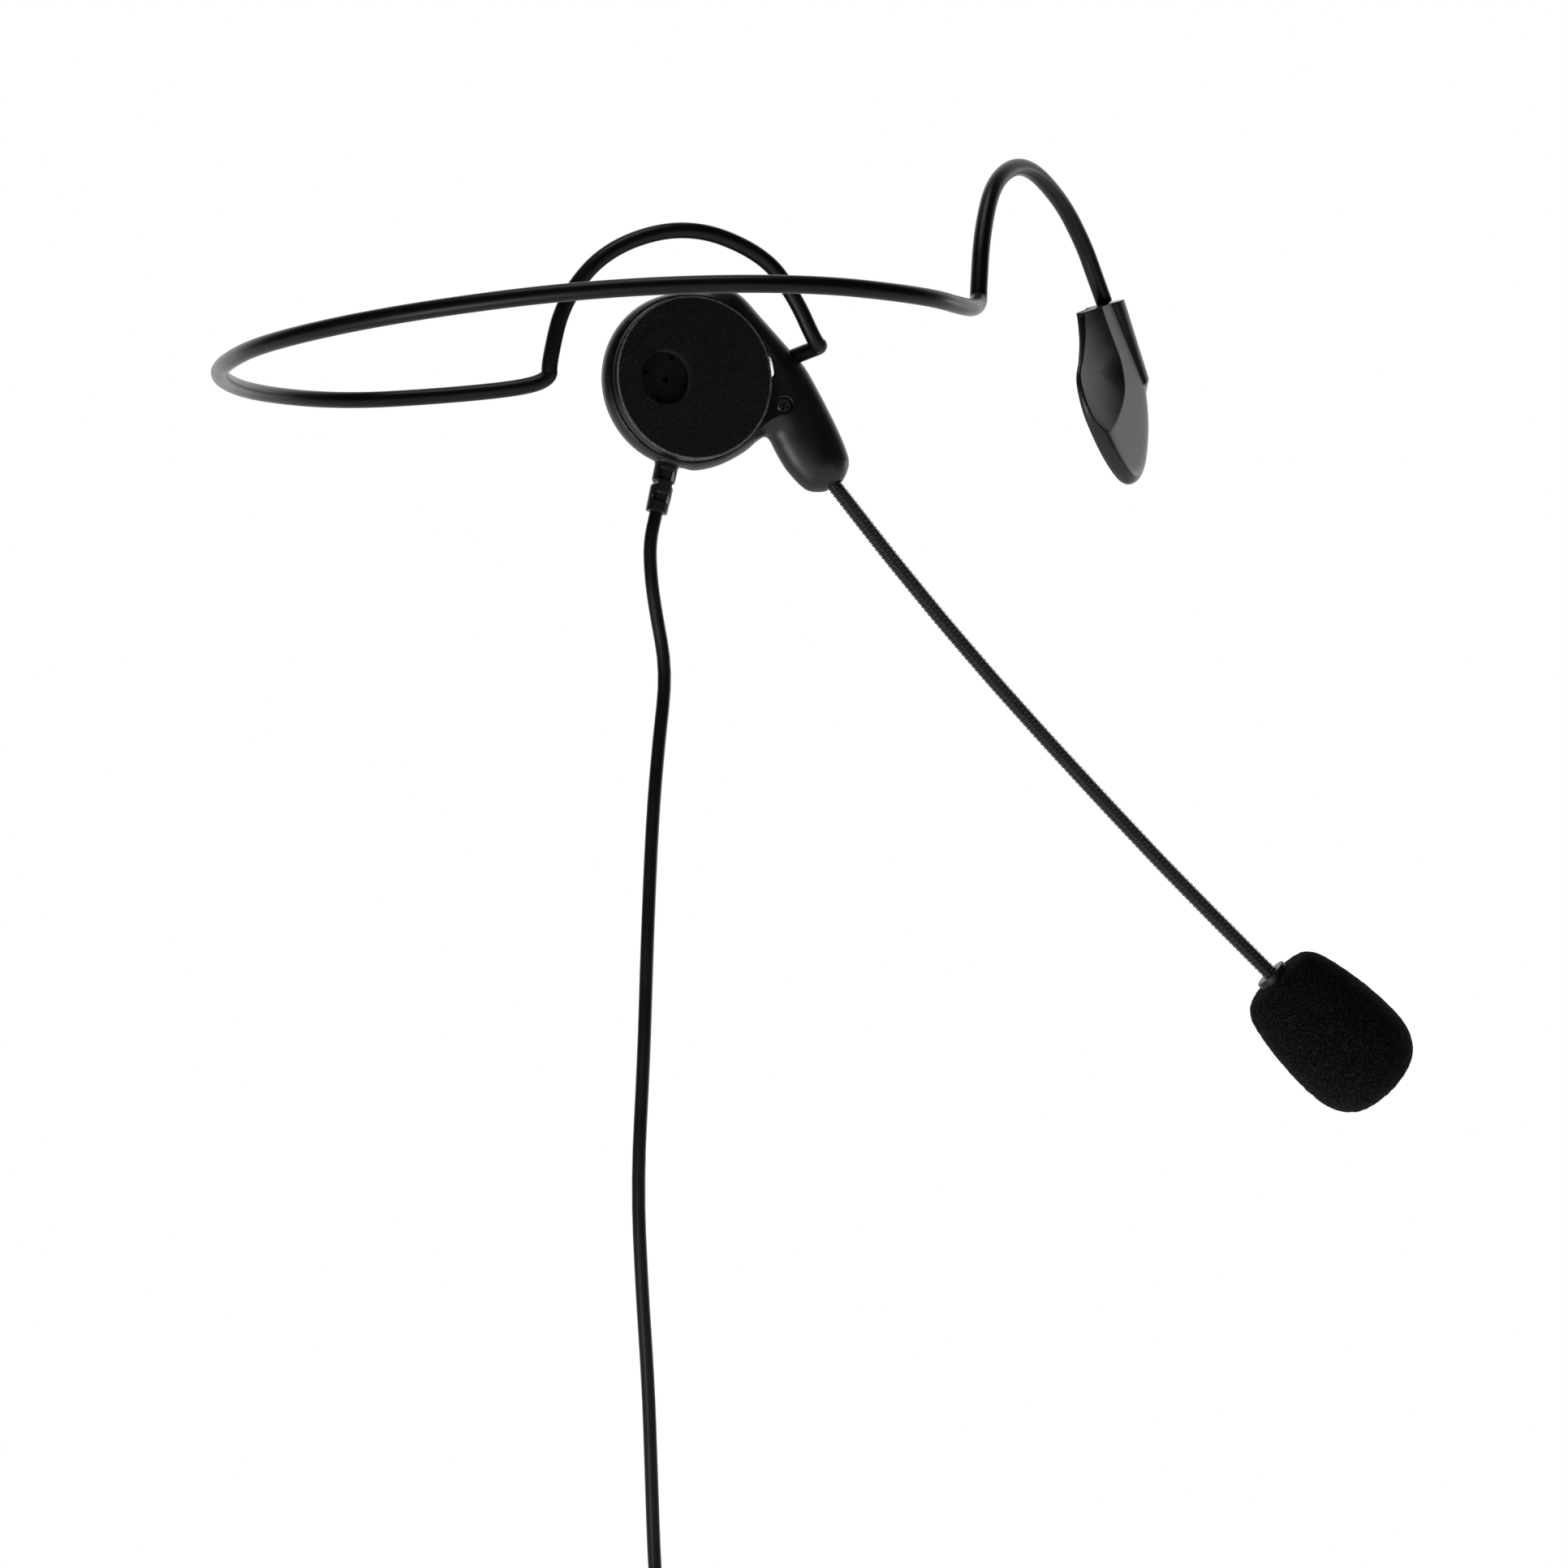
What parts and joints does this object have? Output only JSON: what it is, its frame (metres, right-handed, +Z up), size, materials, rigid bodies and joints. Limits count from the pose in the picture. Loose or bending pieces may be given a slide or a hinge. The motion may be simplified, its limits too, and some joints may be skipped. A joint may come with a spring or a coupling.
{
  "type": "headset microphone",
  "caption": "Behind-the-head headset: sprung wire neckband over the ears, one foam-padded earphone, gooseneck boom microphone with windscreen, temple pad and plugged cable.",
  "frame": {"origin": "midway between the lower corners of the two ear hooks, where the neckband rests on the wearer's ears", "axes": "+X the wearer's forward, +Y the wearer's left, +Z up, as worn"},
  "size_m": [0.338, 0.2002, 0.4349],
  "materials": {
    "spring_steel": "drawn wire",
    "band_sleeve": "satin black plastic sleeve",
    "steel_small": "plated",
    "housing_plastic": "finely textured satin black",
    "screw_black": "black oxide",
    "brass_small": "turned",
    "circuit_board": "solder mask",
    "ear_foam": "fine black foam",
    "magnet": "nickel plated",
    "driver_film": "thin film",
    "relief_rubber": "matt black",
    "gooseneck_metal": "satin black ribs",
    "mic_plastic": "satin black",
    "capsule_metal": "satin",
    "screen_foam": "open-cell black foam",
    "cable_jacket": "satin black jacket",
    "tie_strap": "black hook and loop strap",
    "plug_metal": "satin black",
    "plug_gold": "gold plated",
    "plug_rings": "moulded insulator",
    "pad_plastic": "finely grained black",
    "pad_rubber": "soft matt black"
  },
  "bodies": {
    "neckband": {"neckband_wire": "spring_steel", "neckband_sleeve": "band_sleeve", "wire_end_rings": "steel_small"},
    "ear_unit": {"housing_front": "housing_plastic", "housing_rear": "housing_plastic", "housing_screw": "screw_black", "pivot_bush": "brass_small", "terminal_board": "circuit_board", "strain_relief": "relief_rubber", "gooseneck_ferrule": "brass_small", "gooseneck_root": "gooseneck_metal", "cable": "cable_jacket", "cable_coil": "cable_jacket", "coil_tie": "tie_strap", "plug_lead": "cable_jacket", "plug_relief": "relief_rubber", "plug_body": "plug_metal", "plug_contacts": "plug_gold", "plug_insulators": "plug_rings"},
    "pod": {"pod_cup": "housing_plastic", "pod_plate": "housing_plastic", "pod_pins": "housing_plastic", "foam_pad": "ear_foam", "driver_frame": "steel_small", "driver_magnet": "magnet", "driver_cone": "driver_film"},
    "link_1": {"gooseneck_link_1": "gooseneck_metal"},
    "link_2": {"gooseneck_link_2": "gooseneck_metal"},
    "link_3": {"gooseneck_link_3": "gooseneck_metal"},
    "link_4": {"gooseneck_link_4": "gooseneck_metal"},
    "link_5": {"gooseneck_link_5": "gooseneck_metal"},
    "link_6": {"gooseneck_link_6": "gooseneck_metal"},
    "link_7": {"gooseneck_link_7": "gooseneck_metal"},
    "link_8": {"gooseneck_link_8": "gooseneck_metal", "mic_collar": "mic_plastic", "mic_holder": "mic_plastic", "capsule_boot": "relief_rubber", "mic_capsule": "capsule_metal", "windscreen": "screen_foam"},
    "temple_pad": {"pad_carrier": "pad_plastic", "pad_cushion": "pad_rubber"}
  },
  "joints": [
    {"name": "ear_swing", "type": "hinge", "parent": "neckband", "child": "ear_unit", "pos_m": [0.06193, 0.05659, 0.0107], "axis": [-0.1446, 0.9674, -0.2079], "range_deg": [-20, 20]},
    {"name": "pod_tilt", "type": "hinge", "parent": "ear_unit", "child": "pod", "pos_m": [0.03634, 0.06721, 0.0035], "axis": [0.9304, -0.3665, 0], "range_deg": [-8, 8]},
    {"name": "pad_swivel", "type": "hinge", "parent": "neckband", "child": "temple_pad", "pos_m": [0.06197, -0.0477, 0.01338], "axis": [0.5469, 0.0978, -0.8315], "range_deg": [-20, 20]},
    {"name": "neck_lift_1", "type": "hinge", "parent": "ear_unit", "child": "link_1", "pos_m": [0.0723, 0.05272, -0.02104], "axis": [-0.3665, -0.9304, 0], "range_deg": [-14, 14]},
    {"name": "neck_swing_1", "type": "hinge", "parent": "link_1", "child": "link_2", "pos_m": [0.08374, 0.04709, -0.03645], "axis": [0.7075, -0.2787, 0.6494], "range_deg": [-14, 14]},
    {"name": "neck_lift_2", "type": "hinge", "parent": "link_2", "child": "link_3", "pos_m": [0.09528, 0.04104, -0.05162], "axis": [-0.3665, -0.9304, 0], "range_deg": [-14, 14]},
    {"name": "neck_swing_2", "type": "hinge", "parent": "link_3", "child": "link_4", "pos_m": [0.10719, 0.03485, -0.06645], "axis": [0.6805, -0.268, 0.682], "range_deg": [-14, 14]},
    {"name": "neck_lift_3", "type": "hinge", "parent": "link_4", "child": "link_5", "pos_m": [0.11919, 0.02825, -0.08102], "axis": [-0.3665, -0.9304, 0], "range_deg": [-14, 14]},
    {"name": "neck_swing_3", "type": "hinge", "parent": "link_5", "child": "link_6", "pos_m": [0.13117, 0.02128, -0.09545], "axis": [0.6693, -0.2636, 0.6947], "range_deg": [-14, 14]},
    {"name": "neck_lift_4", "type": "hinge", "parent": "link_6", "child": "link_7", "pos_m": [0.14326, 0.01427, -0.10976], "axis": [-0.3665, -0.9304, 0], "range_deg": [-14, 14]},
    {"name": "neck_swing_4", "type": "hinge", "parent": "link_7", "child": "link_8", "pos_m": [0.15542, 0.00686, -0.12379], "axis": [0.6521, -0.2569, 0.7133], "range_deg": [-14, 14]}
  ],
  "couplings": [
    {"joint": "neck_lift_2", "follows": "neck_lift_1", "ratio": 1},
    {"joint": "neck_lift_3", "follows": "neck_lift_1", "ratio": 1},
    {"joint": "neck_lift_4", "follows": "neck_lift_1", "ratio": 1},
    {"joint": "neck_swing_2", "follows": "neck_swing_1", "ratio": 1},
    {"joint": "neck_swing_3", "follows": "neck_swing_1", "ratio": 1},
    {"joint": "neck_swing_4", "follows": "neck_swing_1", "ratio": 1}
  ]
}
